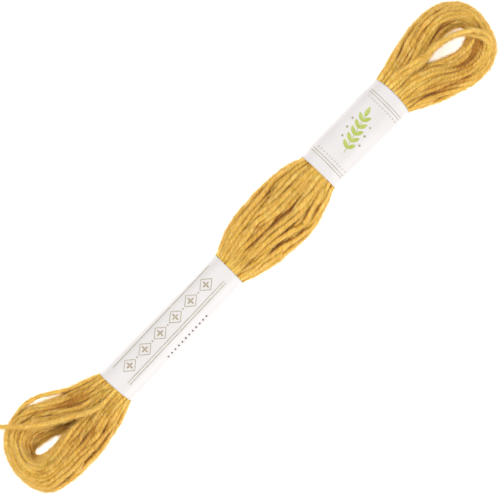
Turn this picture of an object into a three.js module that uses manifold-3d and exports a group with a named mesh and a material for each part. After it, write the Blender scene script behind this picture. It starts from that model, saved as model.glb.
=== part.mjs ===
// A hank of tapestry wool, lying flat. The yarn is wound into one long ring, drawn together
// into a single bundle by two paper bands. The ring opens into an eye at each end, the bundle
// swells between the bands, and one loose end of the yarn lies across the eye of the left end.
// Millimetres. X runs along the hank, Y across it, Z up, and the surface it lies on is z = 0.
import * as THREE from "three";
import { mergeVertices } from "three/addons/utils/BufferGeometryUtils.js";
import Module from "manifold-3d";

const wasm = await Module();
wasm.setup();

// Yarn and paper
const YARN_DIAMETER = 1.0;
const BAND_THICKNESS = 1.0;
const CLEARANCE = 0.3;
const EVENNESS = 0.03;

// The two paper bands, as where each starts and ends along X
const LONG_BAND = { start: -47.9, end: -7.0 };
const SHORT_BAND = { start: 25.7, end: 52.2 };

// The lap of a band, where its paper is glued over itself on the underside
const LAP = { from: 1.36 * Math.PI, to: 1.6 * Math.PI, rise: 0.35 };

// The turns of the yarn show as ribs on its surface, a few turns to each rib. profile is how
// deep each of a rib's points lies round a section: its groove, then its two shoulders.
const RIB = { depth: 0.65, profile: [1, 0, 0], twist: 0.006 };
const RIBS = { bundle: 17, ring: 12 };

// How square a section is: 1 is an ellipse, less is squarer
const SQUARENESS = 0.86;

// Points round a band and round a single strand
const FACETS = { band: 40, strand: 8 };

// The bundle, a row for each section along X. back and front are its two sides along Y, base
// and top its lowest and highest points, and steps is the number of sections to the next row.
const BUNDLE = [
  { x: -58.2, back: 1.0, front: -0.5, base: 1.6, top: 4.6, steps: 1 },
  { x: -56.4, back: 2.2, front: -1.9, base: 0.9, top: 5.9, steps: 1 },
  { x: -53.6, back: 3.8, front: -4.3, base: 0.5, top: 7.2, steps: 1 },
  { x: -50.6, back: 5.0, front: -6.0, base: 0.5, top: 7.9, steps: 1 },
  { x: -47.9, back: 4.8, front: -6.0, base: 0.7, top: 8.3, steps: 1 },
  { x: -44.0, back: 4.8, front: -5.9, base: 0.8, top: 8.3, steps: 1 },
  { x: -11.0, back: 5.2, front: -4.9, base: 0.8, top: 8.3, steps: 1 },
  { x: -7.0, back: 5.4, front: -4.8, base: 0.7, top: 8.4, steps: 2 },
  { x: -2.6, back: 7.2, front: -6.0, base: 0.1, top: 9.2, steps: 2 },
  { x: 2.8, back: 8.6, front: -7.1, base: -0.4, top: 10.0, steps: 2 },
  { x: 8.6, back: 9.3, front: -7.8, base: -0.6, top: 10.4, steps: 2 },
  { x: 14.2, back: 9.5, front: -7.8, base: -0.6, top: 10.4, steps: 2 },
  { x: 19.2, back: 9.1, front: -6.7, base: -0.4, top: 10.0, steps: 2 },
  { x: 23.2, back: 8.1, front: -5.2, base: 0.1, top: 9.4, steps: 1 },
  { x: 25.7, back: 7.4, front: -4.2, base: 0.6, top: 9.0, steps: 1 },
  { x: 29.0, back: 7.7, front: -4.2, base: 0.7, top: 8.9, steps: 1 },
  { x: 48.0, back: 8.1, front: -4.1, base: 0.7, top: 8.9, steps: 1 },
  { x: 52.2, back: 8.0, front: -3.9, base: 0.6, top: 8.8, steps: 1 },
  { x: 55.0, back: 7.4, front: -3.5, base: 0.5, top: 8.0, steps: 1 },
  { x: 58.6, back: 5.2, front: -1.0, base: 0.5, top: 6.8, steps: 1 },
  { x: 61.4, back: 3.4, front: 0.6, base: 1.0, top: 5.8, steps: 1 },
  { x: 63.2, back: 2.4, front: 1.2, base: 1.8, top: 4.4, steps: 1 },
];

// Each open end of the ring, from its back limb round to its front limb. outX, outY is a point
// on the outline and inX, inY the point across the yarn from it, on the eye. lean tips the
// section, so that its top lies further out than its base, by that share of its height.
const LEFT_END = [
  { outX: -46.5, outY: 4.4, inX: -46.5, inY: -1.6, base: 1.3, top: 7.7, lean: 0.0, steps: 2 },
  { outX: -54.4, outY: 6.7, inX: -54.4, inY: -1.2, base: 0.4, top: 7.4, lean: 0.05, steps: 2 },
  { outX: -58.6, outY: 8.2, inX: -58.6, inY: -0.6, base: -0.2, top: 7.0, lean: 0.2, steps: 2 },
  { outX: -62.8, outY: 10.2, inX: -63.0, inY: 0.6, base: -0.4, top: 6.8, lean: 0.4, steps: 2 },
  { outX: -67.4, outY: 12.2, inX: -67.4, inY: 2.6, base: -0.4, top: 6.9, lean: 0.5, steps: 3 },
  { outX: -72.4, outY: 12.6, inX: -71.6, inY: 3.8, base: -0.4, top: 7.2, lean: 0.5, steps: 3 },
  { outX: -76.6, outY: 10.6, inX: -74.2, inY: 4.0, base: -0.4, top: 7.6, lean: 0.35, steps: 3 },
  { outX: -79.6, outY: 6.6, inX: -75.0, inY: 3.2, base: -0.4, top: 7.9, lean: 0.1, steps: 3 },
  { outX: -81.2, outY: 1.0, inX: -75.0, inY: 1.9, base: -0.4, top: 8.0, lean: 0.0, steps: 3 },
  { outX: -80.7, outY: -4.6, inX: -74.2, inY: 1.0, base: -0.4, top: 7.8, lean: 0.0, steps: 3 },
  { outX: -77.4, outY: -8.3, inX: -72.8, inY: 0.5, base: -0.4, top: 7.2, lean: 0.0, steps: 3 },
  { outX: -72.0, outY: -9.7, inX: -70.6, inY: 0.2, base: -0.4, top: 6.8, lean: 0.0, steps: 3 },
  { outX: -66.4, outY: -10.0, inX: -66.8, inY: 0.5, base: -0.4, top: 6.7, lean: 0.0, steps: 2 },
  { outX: -61.0, outY: -9.6, inX: -61.4, inY: 0.9, base: -0.4, top: 6.8, lean: 0.0, steps: 2 },
  { outX: -55.6, outY: -8.2, inX: -56.0, inY: 0.6, base: 0.2, top: 7.2, lean: 0.0, steps: 3 },
  { outX: -46.5, outY: -5.6, inX: -46.5, inY: 0.4, base: 1.3, top: 7.7, lean: 0.0, steps: 1 },
];
const RIGHT_END = [
  { outX: 50.8, outY: 7.7, inX: 50.8, inY: 1.2, base: 1.2, top: 8.2, lean: 0.0, steps: 2 },
  { outX: 57.6, outY: 9.7, inX: 57.6, inY: 0.8, base: 0.3, top: 7.6, lean: 0.0, steps: 2 },
  { outX: 62.6, outY: 10.9, inX: 62.6, inY: 1.7, base: -0.3, top: 7.0, lean: 0.05, steps: 2 },
  { outX: 68.4, outY: 11.4, inX: 68.2, inY: 3.1, base: -0.4, top: 6.6, lean: 0.1, steps: 2 },
  { outX: 74.4, outY: 11.0, inX: 73.4, inY: 3.9, base: -0.4, top: 6.8, lean: 0.1, steps: 3 },
  { outX: 78.8, outY: 9.0, inX: 76.4, inY: 3.2, base: -0.4, top: 7.3, lean: 0.0, steps: 3 },
  { outX: 81.6, outY: 5.6, inX: 77.2, inY: 1.9, base: -0.4, top: 7.8, lean: 0.0, steps: 3 },
  { outX: 82.5, outY: 0.9, inX: 77.2, inY: 0.6, base: -0.4, top: 8.0, lean: 0.0, steps: 3 },
  { outX: 81.5, outY: -4.2, inX: 76.4, inY: -0.4, base: -0.4, top: 7.8, lean: 0.0, steps: 3 },
  { outX: 79.0, outY: -8.4, inX: 75.0, inY: -1.0, base: -0.4, top: 7.2, lean: 0.0, steps: 3 },
  { outX: 74.8, outY: -10.5, inX: 72.8, inY: -0.9, base: -0.4, top: 6.6, lean: 0.0, steps: 3 },
  { outX: 69.6, outY: -10.4, inX: 69.8, inY: 0.0, base: -0.4, top: 6.4, lean: 0.0, steps: 2 },
  { outX: 64.6, outY: -9.0, inX: 65.4, inY: 1.3, base: -0.3, top: 6.6, lean: 0.0, steps: 2 },
  { outX: 58.8, outY: -6.6, inX: 59.6, inY: 2.4, base: 0.3, top: 7.4, lean: 0.0, steps: 3 },
  { outX: 50.8, outY: -3.6, inX: 50.8, inY: 3.0, base: 1.2, top: 8.2, lean: 0.0, steps: 1 },
];

// The two turns that cross the eye of the right end over the rest, side by side, as points
// along their middle and how far each lies from it
const CROSSING = {
  radius: YARN_DIAMETER / 2,
  beside: [0.32, 0.38],
  path: [
    [58.0, 4.8, 5.6],
    [64.0, 3.9, 6.6],
    [68.2, 3.5, 6.5],
    [71.4, 3.0, 6.4],
    [73.7, 1.9, 6.6],
    [76.6, 0.3, 7.3],
    [78.9, -2.3, 7.7],
    [80.6, -5.6, 6.4],
  ],
};

// The loose end of the yarn: from beside the long band along the top of the bundle, out of the
// fork of the left end, across the eye and the back limb, and down to the surface
const TAIL = {
  radius: YARN_DIAMETER / 2,
  path: [
    [-49.2, -1.0, 8.0],
    [-52.6, -1.2, 8.0],
    [-55.4, -0.8, 7.8],
    [-57.8, 0.3, 7.6],
    [-60.3, 1.7, 7.5],
    [-62.8, 3.1, 7.4],
    [-65.0, 4.4, 7.4],
    [-67.2, 5.9, 7.6],
    [-69.1, 7.3, 7.8],
    [-70.6, 8.6, 7.8],
    [-72.2, 10.0, 7.6],
    [-73.8, 11.4, 6.8],
    [-75.2, 12.7, 5.3],
    [-76.4, 13.9, 3.5],
    [-77.8, 15.1, 1.8],
    [-79.3, 16.3, 0.8],
    [-81.0, 17.3, 0.5],
  ],
};

// A closed mesh over rings of points. Each ring has the same number of points, and the two end
// rings are capped, or joined to each other where the skin closes on itself.
function skin(rings, joined = false) {
  const around = rings[0].length;
  const points = rings.flat();
  const faces = [];
  const links = joined ? rings.length : rings.length - 1;
  for (let i = 0; i < links; i++) {
    const here = i * around;
    const next = ((i + 1) % rings.length) * around;
    for (let j = 0; j < around; j++) {
      const k = (j + 1) % around;
      faces.push(here + j, here + k, next + k, here + j, next + k, next + j);
    }
  }
  if (!joined) {
    cap(points, faces, 0, around, true);
    cap(points, faces, points.length - 1 - around, around, false);
  }
  return new THREE.BufferGeometry().setFromPoints(points).setIndex(faces);
}

// Closes a ring of points with a fan about its middle
function cap(points, faces, first, around, turned) {
  const middle = new THREE.Vector3();
  for (let j = 0; j < around; j++) middle.addScaledVector(points[first + j], 1 / around);
  const centre = points.push(middle) - 1;
  for (let j = 0; j < around; j++) {
    const here = first + j;
    const next = first + ((j + 1) % around);
    faces.push(centre, turned ? next : here, turned ? here : next);
  }
}

// A geometry as a manifold-3d solid, turned to face outwards
function solid(geometry) {
  const merged = mergeVertices(geometry, 1e-4);
  const vertProperties = new Float32Array(merged.attributes.position.array);
  const triVerts = new Uint32Array(merged.index.array);
  const made = new wasm.Manifold(new wasm.Mesh({ numProp: 3, vertProperties, triVerts }));
  if (made.volume() > 0) return made;
  return new wasm.Manifold(new wasm.Mesh({ numProp: 3, vertProperties, triVerts: triVerts.reverse() }));
}

// A manifold-3d solid as a geometry, without the faces that add less than EVENNESS to its form
function geometryOf(made) {
  const { vertProperties, triVerts } = made.simplify(EVENNESS).getMesh();
  return new THREE.BufferGeometry()
    .setAttribute("position", new THREE.BufferAttribute(vertProperties, 3))
    .setIndex(new THREE.BufferAttribute(triVerts, 1));
}

// The outer body of a solid, without the small hollows sealed between the turns
function whole(made) {
  return made.decompose().reduce((most, body) => (body.volume() > most.volume() ? body : most));
}

// The rows of a table, with its own number of smooth rows after each
function smoothed(table) {
  const at = (i) => table[THREE.MathUtils.clamp(i, 0, table.length - 1)];
  const rows = [];
  for (let i = 0; i < table.length - 1; i++) {
    for (let n = 0; n < at(i).steps; n++) {
      rows.push(between(at(i - 1), at(i), at(i + 1), at(i + 2), n / at(i).steps));
    }
  }
  rows.push(table.at(-1));
  return rows;
}

// A row on the smooth curve through rows a, b, c and d, that share of the way from b to c
function between(a, b, c, d, share) {
  const row = {};
  for (const key of Object.keys(b)) {
    const slope = c[key] - a[key];
    const bend = 2 * a[key] - 5 * b[key] + 4 * c[key] - d[key];
    const turn = 3 * b[key] - a[key] - 3 * c[key] + d[key];
    row[key] = b[key] + (slope * share + bend * share ** 2 + turn * share ** 3) / 2;
  }
  return row;
}

// A point of a rounded section of width 2 and height 2, at an angle round it
function rounded(angle) {
  const squared = (v) => Math.sign(v) * Math.abs(v) ** SQUARENESS;
  return { across: squared(Math.cos(angle)), up: squared(Math.sin(angle)) };
}

// How far each point round a section is drawn in by the ribs, some of which are deeper
function drawn(point, along) {
  const step = point % RIB.profile.length;
  const rib = (point - step) / RIB.profile.length;
  const deeper = 0.75 + 0.25 * Math.sin(2.4 * rib + 0.07 * along);
  return RIB.depth * deeper * RIB.profile[step];
}

// One ribbed section across the yarn, from one side to the other, flat where it meets the surface
function section({ from, to, base, top, lean = 0 }, ribs, along) {
  const across = to.clone().sub(from).normalize();
  const middle = from.clone().add(to).multiplyScalar(0.5);
  const width = from.distanceTo(to) / 2;
  const height = (top - base) / 2;
  const points = ribs * RIB.profile.length;
  const ring = [];
  for (let i = 0; i < points; i++) {
    const shape = rounded((2 * Math.PI * i) / points + RIB.twist * along);
    const inward = drawn(i, along);
    const up = (height - inward) * shape.up;
    const point = middle.clone().addScaledVector(across, (width - inward) * shape.across + lean * up);
    point.z = Math.max(0, base + height + up);
    ring.push(point);
  }
  return ring;
}

function bundle() {
  const rings = smoothed(BUNDLE).map(({ x, back, front, base, top }) => {
    const from = new THREE.Vector3(x, front, 0);
    const to = new THREE.Vector3(x, back, 0);
    return section({ from, to, base, top }, RIBS.bundle, x);
  });
  return solid(skin(rings));
}

function openEnd(table) {
  let along = 0;
  let before = null;
  const rings = smoothed(table).map(({ outX, outY, inX, inY, base, top, lean }) => {
    const from = new THREE.Vector3(inX, inY, 0);
    const to = new THREE.Vector3(outX, outY, 0);
    along += before ? to.distanceTo(before) : 0;
    before = to;
    return section({ from, to, base, top, lean }, RIBS.ring, along);
  });
  return solid(skin(rings));
}

// The plain outline of the bundle at x, grown by a margin, for the bands that go round it
function outlineAt(x, margin, lapped) {
  const next = BUNDLE.findIndex((row) => row.x > x);
  const [low, high] = [BUNDLE[next - 1], BUNDLE[next]];
  const mix = (key) => THREE.MathUtils.mapLinear(x, low.x, high.x, low[key], high[key]);
  const width = (mix("back") - mix("front")) / 2 + margin;
  const height = (mix("top") - mix("base")) / 2 + margin;
  const ring = [];
  for (let i = 0; i < FACETS.band; i++) {
    const angle = (2 * Math.PI * i) / FACETS.band;
    const rise = lapped && angle > LAP.from && angle < LAP.to ? LAP.rise : 0;
    const shape = rounded(angle);
    const y = (mix("back") + mix("front")) / 2 + (width + rise) * shape.across;
    const z = (mix("top") + mix("base")) / 2 + (height + rise) * shape.up;
    ring.push(new THREE.Vector3(x, y, z));
  }
  return ring;
}

// A sleeve round the bundle from start to end, between an inner and an outer margin
function sleeve({ start, end }, inner, outer, lapped) {
  const stations = [start, ...BUNDLE.map((row) => row.x).filter((x) => x > start && x < end), end];
  const outside = stations.map((x) => outlineAt(x, outer, lapped));
  const inside = stations.map((x) => outlineAt(x, inner, false)).reverse();
  return solid(skin([...outside, ...inside], true));
}

const band = (place) => sleeve(place, -BAND_THICKNESS, 0, true);

// The room that a band takes out of the yarn
function bandBed({ start, end }) {
  const room = { start: start - CLEARANCE, end: end + CLEARANCE };
  return sleeve(room, -BAND_THICKNESS - CLEARANCE, 3, false);
}

// A round strand along a path, moved a little to one side
function strand({ path, radius }, margin = 0, [aside, ahead] = [0, 0]) {
  const points = path.map(([x, y, z]) => new THREE.Vector3(x + aside, y + ahead, z));
  const curve = new THREE.CatmullRomCurve3(points);
  const steps = Math.round(curve.getLength() / (1.2 * YARN_DIAMETER));
  const frames = curve.computeFrenetFrames(steps);
  const rings = curve.getSpacedPoints(steps).map((centre, i) => {
    const ring = [];
    for (let j = 0; j < FACETS.strand; j++) {
      const angle = (2 * Math.PI * j) / FACETS.strand;
      const point = centre.clone().addScaledVector(frames.normals[i], (radius + margin) * Math.cos(angle));
      ring.push(point.addScaledVector(frames.binormals[i], (radius + margin) * Math.sin(angle)));
    }
    return ring;
  });
  return solid(skin(rings));
}

const { beside } = CROSSING;
const yarn = bundle()
  .add(openEnd(LEFT_END))
  .add(openEnd(RIGHT_END))
  .add(strand(CROSSING, 0, beside))
  .add(strand(CROSSING, 0, beside.map((shift) => -shift)))
  .subtract(bandBed(LONG_BAND))
  .subtract(bandBed(SHORT_BAND))
  .subtract(strand(TAIL, CLEARANCE));

const wool = { color: 0xd9a03f, roughness: 0.95, metalness: 0 };
const paper = { color: 0xf1ecec, roughness: 0.6, metalness: 0 };

function named(name, made, finish) {
  const mesh = new THREE.Mesh(geometryOf(made), new THREE.MeshStandardMaterial(finish));
  mesh.name = name;
  return mesh;
}

const hank = new THREE.Group();
hank.add(
  named("yarn_ring", whole(yarn), wool),
  named("yarn_tail", strand(TAIL), wool),
  named("band_long", band(LONG_BAND), paper),
  named("band_short", band(SHORT_BAND), paper),
);

// The origin is on the surface, below the middle of the hank
const reach = new THREE.Box3().setFromObject(hank);
const middle = reach.getCenter(new THREE.Vector3());
hank.position.set(-middle.x, -middle.y, -reach.min.z);

export default hank;
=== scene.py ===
# A hank of golden tapestry wool in two paper bands, lying flat. Its turns are twisted two-ply
# strands, laid out by pushing them apart inside the hank's outline at stations round the ring.
import math

import bpy
import numpy as np
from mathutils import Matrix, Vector


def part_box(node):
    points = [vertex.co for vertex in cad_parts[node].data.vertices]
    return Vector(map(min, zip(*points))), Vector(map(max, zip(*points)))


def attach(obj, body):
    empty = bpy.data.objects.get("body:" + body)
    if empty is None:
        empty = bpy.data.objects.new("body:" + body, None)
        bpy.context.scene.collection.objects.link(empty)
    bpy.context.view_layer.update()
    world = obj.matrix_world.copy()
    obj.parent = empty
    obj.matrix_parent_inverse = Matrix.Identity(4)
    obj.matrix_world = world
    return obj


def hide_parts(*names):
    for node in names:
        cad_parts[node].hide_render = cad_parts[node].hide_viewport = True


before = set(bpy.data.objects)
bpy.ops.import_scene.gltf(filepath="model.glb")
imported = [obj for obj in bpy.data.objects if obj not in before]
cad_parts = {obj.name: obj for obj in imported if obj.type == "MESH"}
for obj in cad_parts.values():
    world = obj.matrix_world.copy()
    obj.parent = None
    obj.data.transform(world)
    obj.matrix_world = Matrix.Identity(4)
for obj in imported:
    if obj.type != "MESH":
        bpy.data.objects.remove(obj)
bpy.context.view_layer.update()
scene = bpy.context.scene

MM = 0.001
TAU = 2 * math.pi

# The yarn: its turns, a free strand's diameter, and the length of one twist
TURNS = 48
YARN = 1.2
TWIST = 2.4

# A strand's radius at points round it, as a share of its diameter, with two plies and plain
PLIES = np.array([0.53, 0.505, 0.455, 0.505, 0.53, 0.505, 0.455, 0.505])
PLAIN = 0.47

# How far the twist runs ahead and falls behind, in turns, and over what lengths
UNEVEN_TWIST = 0.3
UNEVEN_LENGTHS = (68.0, 31.0, 15.0)

# The height of the yarn's lowest points
FLOOR_GAP = 0.02

# The steps along a strand that shows and one that is hidden
FINE_STEP = 0.36
COARSE_STEP = 2.2

# How square a section of the hank is: 2 is an ellipse, more is squarer
SQUARE = 2.33

# The paper bands along X. The slant moves one side of the start back and the other on, and the
# bow moves the middle of the end out.
PAPER = 0.12
LONG_BAND = {"start": -47.9, "end": -7.0, "slant": 0.4, "bow": 0.1}
SHORT_BAND = {"start": 25.7, "end": 52.2, "slant": 0.15, "bow": 0.45}

# The bundle along X: its back side, the line between its limbs, its front side, its lowest and
# highest points, and how far the inner side of the back limb slopes outwards
BUNDLE_COLUMNS = ("x", "back", "mid", "front", "base", "top", "slope")
BUNDLE = (
    (-66, 11.3, 0.5, -10, 0, 6.8, 0.55),
    (-62.5, 9.2, 0.4, -9.9, 0, 6.9, 0.42),
    (-59.5, 8, 0.3, -9.5, 0, 7, 0.2),
    (-57, 7.7, 0.2, -8.8, 0, 7.1, 0),
    (-54.4, 6.9, 0.1, -8, 0.2, 7.4, 0),
    (-50.6, 5.7, -0.2, -6.8, 0.5, 7.9, 0),
    (-47.9, 4.8, -0.6, -6, 0.7, 8.3, 0),
    (-44, 4.8, -0.6, -5.9, 0.8, 8.3, 0),
    (-27, 5, -0.2, -5.4, 0.8, 8.3, 0),
    (-11, 5.2, 0.1, -4.9, 0.8, 8.3, 0),
    (-7, 5.4, 0.3, -4.8, 0.7, 8.4, 0),
    (-3.6, 6.7, 0.5, -5.7, 0.3, 9, 0),
    (0, 8.1, 0.6, -6.6, 0, 9.7, 0),
    (3, 8.7, 0.7, -7.2, 0, 10.1, 0),
    (6.3, 9.1, 0.8, -7.5, 0, 10.3, 0),
    (9.4, 9.3, 0.8, -7.8, 0, 10.4, 0),
    (12.5, 9.5, 0.8, -7.8, 0, 10.4, 0),
    (15.6, 9.4, 0.9, -7.5, 0, 10.3, 0),
    (18.8, 9.1, 1.1, -6.7, 0, 10, 0),
    (21.9, 8.4, 1.3, -5.6, 0.2, 9.6, 0),
    (25.7, 7.4, 1.6, -4.2, 0.6, 9, 0),
    (29, 7.7, 1.7, -4.2, 0.7, 8.9, 0),
    (39, 7.9, 1.8, -4.1, 0.7, 8.9, 0),
    (48, 8.1, 1.9, -4.1, 0.7, 8.9, 0),
    (52.2, 8, 2, -3.9, 0.6, 8.8, 0),
    (55, 8.5, 2, -5, 0.4, 8.4, 0),
    (58, 9.2, 2, -6.4, 0.1, 7.8, 0),
    (61, 10, 2, -7.7, 0, 7.3, 0),
    (64, 10.8, 1.9, -8.9, 0, 7, 0),
)

# The open ends, as a turn runs through them: a point on the outline, the point on the eye across
# the yarn from it, the lowest and highest points, and how far the inner side slopes outwards
END_COLUMNS = ("out_x", "out_y", "in_x", "in_y", "base", "top", "slope")
RIGHT_END = (
    (64, 10.8, 64, 1.9, 0, 7, 0),
    (69.5, 11.4, 69.3, 2.9, 0, 6.7, 0),
    (74, 11.1, 73, 3.5, 0, 6.8, 0),
    (78.5, 9.3, 75.8, 2.9, 0, 7.2, 0),
    (81.3, 6.2, 77.2, 1.8, 0, 7.6, 0),
    (82.5, 1.3, 77.2, 0.4, 0, 7.8, 0),
    (81.7, -3.5, 76.3, -0.5, 0, 7.7, 0),
    (79.9, -7.5, 74.8, -1, 0, 7.2, 0.05),
    (75.5, -10.3, 72.3, -1.1, 0, 6.8, 0.1),
    (70, -10.5, 69.5, -0.2, 0, 6.6, 0.1),
    (64, -8.9, 64, 1.9, 0, 7, 0),
)
LEFT_END = (
    (-66, -10, -66, 0.5, 0, 6.8, 0),
    (-69.5, -9.9, -69.2, 0, 0, 6.7, 0),
    (-73.5, -9.4, -72.2, -0.2, 0, 6.9, 0),
    (-78.5, -7.8, -74, 0.5, 0, 7.4, 0.05),
    (-80.8, -3.5, -74.7, 1.2, 0, 7.8, 0.1),
    (-81.1, 2, -74.6, 1.7, 0, 8, 0.2),
    (-79.4, 7.2, -73.9, 2.1, 0, 7.9, 0.4),
    (-76.2, 10.9, -72.4, 2.3, 0, 7.6, 0.62),
    (-72, 12.4, -70.6, 2.1, 0, 7.3, 0.7),
    (-68.8, 12.2, -68.4, 1.3, 0, 7, 0.65),
    (-66, 11.3, -66, 0.5, 0, 6.8, 0.55),
)

# Turns with a place of their own for a stretch: two that cross the eye of the right end, one
# that stands off the back of the left end, and two low ones round the eye of the left end
STRAYS = (
    ((51.5, 5, 7.9), (54.5, 5.1, 7.6), (57.5, 4.9, 7.3), (61, 4.1, 7), (64.6, 3.4, 6.8),
     (67.5, 3.3, 6.8), (70.2, 2.85, 6.9), (72.3, 2.4, 7.1), (74, 1.75, 7.4), (75.9, 0.6, 7.8),
     (78, -1.1, 8.1), (79.5, -3.3, 8), (80, -6, 7.2)),
    ((51.5, 3.9, 8.1), (54.5, 4, 7.8), (57.5, 3.8, 7.4), (61.2, 3.1, 6.9), (64.8, 2.7, 6.4),
     (67.6, 3.1, 5.9), (70.2, 2.8, 5.8), (72.3, 2.35, 5.9), (74, 1.7, 6.2), (75.7, 0.5, 6.7),
     (77.1, -1.6, 7.4), (78.4, -3.9, 7.5), (79, -6.4, 6.9)),
    ((-70, 12.5, 5.2), (-67.8, 12.7, 4.9), (-66.2, 12.5, 4.6), (-64.4, 12, 4.3),
     (-62.5, 11, 4.2), (-60.8, 9.95, 4.3), (-59.3, 8.9, 4.5), (-57.4, 7.7, 5)),
    ((-66.5, -0.55, 0.8), (-68.7, -0.55, 0.7), (-70.7, -0.55, 0.7), (-73, -0.2, 0.7),
     (-74.7, 0.5, 0.7), (-75.4, 1.6, 0.7), (-75.1, 2.7, 0.65), (-73.9, 3.2, 0.6),
     (-72.4, 3, 0.6), (-70.5, 2.75, 0.6), (-68.8, 2.35, 0.6), (-67.2, 1.7, 0.6),
     (-65.5, 0.85, 0.6), (-63, 0.45, 0.6), (-60, 0.4, 0.8), (-57, 0.5, 1.3)),
    ((-69, -1.5, 1.6), (-71.5, -1.4, 1.7), (-73.9, -1, 1.8), (-75.7, -0.1, 1.8),
     (-76.4, 1.4, 1.8), (-76.2, 3, 1.7), (-74.9, 4.2, 1.5), (-72.6, 4.1, 1.35),
     (-70, 3.7, 1.3), (-67.5, 2.7, 1.3), (-65, 1.85, 1.3), (-62.5, 1.4, 1.4),
     (-60, 1.3, 1.7), (-57.4, 1.4, 2.2)),
)

# How near the others come to these, less their own radius, how hard and over how many stations
# they are drawn to their lines, and how their joints with the rest are evened out
STRAY_REACH = 0.42
STRAY_PULL = 0.6
PULL_STATIONS = 10
JOINT_STATIONS = 5
JOINT_ROUNDS = 6

# Valleys in the top of the yarn, where turns lie deeper than those beside them: half the
# width, the depth, and points along the valley in X and Y
VALLEYS = (
    (0.8, 2.1, ((-3.5, 0.2), (1.1, 0.7), (6.6, 0.5), (12.5, 0.1), (20, 0.5))),
    (0.7, 0.7, ((11, -3.2), (16.1, -2.6), (21.2, -1.7))),
    (0.7, 0.5, ((4, 6), (11.9, 5.2), (21.4, 4.5))),
    (0.7, 0.6, ((-2, 3.4), (2.2, 4.4), (8.1, 4.5))),
    (0.8, 1.3, ((-71, 9.6), (-66, 8.6), (-63, 6.8), (-59.8, 4.6), (-53, 2.9), (-48.6, 1.1))),
    (0.7, 1, ((-64, 7.9), (-55, 5.4), (-47.6, 3))),
    (0.7, 0.9, ((-70.1, -4.1), (-61.1, -3.7), (-54.2, -3.1), (-48.6, -3.4))),
    (0.7, 0.6, ((-77.5, 5.5), (-78.2, 1), (-77, -3.6), (-72.5, -5.6))),
    (0.9, 1.5, ((78, -1.9), (76.6, -3.7), (73.8, -5), (70.3, -5), (65.4, -4))),
    (0.7, 0.6, ((80.5, 1.2), (77.5, 4.4), (73.1, 5.4), (67, 5.2))),
    (0.8, 1.2, ((54.5, -2.2), (60.4, -4.9), (66.2, -6.9), (71, -7.9))),
)

# Painted shade for the deep place in the fork of the left end, which the yarn shuts in: its
# middle, how far it reaches, and its height
FORK_SHADE_MIDDLE = (-61.6, 1.9)
FORK_SHADE_REACH = 3.6
FORK_SHADE_HEIGHT = 6.2

# The loose end of the yarn: from under the long band, out of the fork of the left end, across
# the eye and the back limb, and down to the surface
TAIL_DIAMETER = 1.0
TAIL = (
    (-46, -1.1, 7.5), (-49.2, -1, 7.9), (-52.6, -1.2, 8), (-55.4, -0.8, 7.8),
    (-57.8, 0.3, 7.6), (-60.3, 1.7, 7.5), (-62.8, 3.1, 7.4), (-65, 4.4, 7.4),
    (-67.2, 5.9, 7.6), (-69.1, 7.3, 7.8), (-70.6, 8.6, 7.8), (-72.2, 10, 7.6),
    (-73.8, 11.4, 6.8), (-75.2, 12.7, 5.3), (-76.4, 13.9, 3.5), (-77.8, 15.1, 1.8),
    (-79.3, 16.3, 0.8), (-81, 17.3, 0.5),
)

# A sloping inner side stands on a low foot, as a share of its height. Above it, 1 is straight
# and less is hollow.
FOOT = 0.2
HOLLOW = 0.6

# The points of the loose end that the yarn makes room for
TAIL_ON_YARN = TAIL[:14]

# How the turns settle: the rounds of pushing, how hard strands and lines push, and the rounds
# of smoothing after each push
ROUNDS = 150
STRAND_PUSH = 0.35
LINE_PUSH = 0.6
STIFFNESS = 8

# How the turns wander before they settle: sizes, and the waves round the ring
WANDER = ((0.09, range(1, 8)), (0.022, range(9, 22)), (0.006, range(22, 60)))

# How much deeper than the outline turns lie
SINK = 0.22

# The distance between stations, and how near to one a line matters to it
STATION = 1.1
NEAR = 12

# How full a section is, and the height of a row of strands to its spacing
FILL = 0.95
PACKING = 0.866

# A strand's radius as a share of the spacing, its limits, and how unevenly thick it is
RADIUS_SHARE = 0.555
RADIUS_RANGE = (0.46, 0.575 * YARN)
UNEVEN_THICKNESS = 0.05

# How much squarer a section is on a sloping inner side, or where the limbs meet
PRESSED = 6

# Where the bands start to cover the yarn, from their ends
BAND_MARGIN = 1.5

# How near to the outside a turn shows its twist, and how far inside it starts to take painted shade
# for lying deep
SHOWN_SHARE = (0.42, 0.52)
DEPTH_SHADE_SHARE = 0.83

# Painted shade on the yarn: the way a point faces, and the weights of the shade painted in its
# ply groove, deep inside and in the fork
SHADE_FACING = (-0.45, 0.6)
GROOVE_SHADE_WEIGHT = 0.15
DEPTH_SHADE_WEIGHT = 0.8
FORK_SHADE_WEIGHT = 1.2

# The tables are in the drawing's millimetres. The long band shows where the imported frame's
# origin is: its front side is at the same place in both.
band_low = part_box("band_long")[0]
LONG_BAND_FRONT = -6.0
SHIFT = np.array([band_low.x / MM - LONG_BAND["start"], band_low.y / MM - LONG_BAND_FRONT, 0.0])


def to_frame(points):
    """Points of the drawing, in millimetres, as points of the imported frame, in metres."""
    return (np.asarray(points, float) + SHIFT) * MM


def unit(vectors):
    return vectors / np.linalg.norm(vectors, axis=-1, keepdims=True)


def smooth_rows(knots, rows, at):
    """The rows of a table, joined by smooth curves, at each place of at."""
    knots, rows, at = (np.asarray(part, float) for part in (knots, rows, at))
    slopes = np.gradient(rows, knots, axis=0)
    i = np.clip(np.searchsorted(knots, at, side="right") - 1, 0, len(knots) - 2)
    gap = (knots[i + 1] - knots[i])[:, None]
    t = (at - knots[i])[:, None] / gap
    near = (2 * t**3 - 3 * t**2 + 1) * rows[i] + (t**3 - 2 * t**2 + t) * gap * slopes[i]
    far = (3 * t**2 - 2 * t**3) * rows[i + 1] + (t**3 - t**2) * gap * slopes[i + 1]
    return near + far


def distances(points):
    """How far along a line of points each of them is."""
    return np.append(0, np.cumsum(np.linalg.norm(np.diff(points, axis=0), axis=1)))


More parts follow.
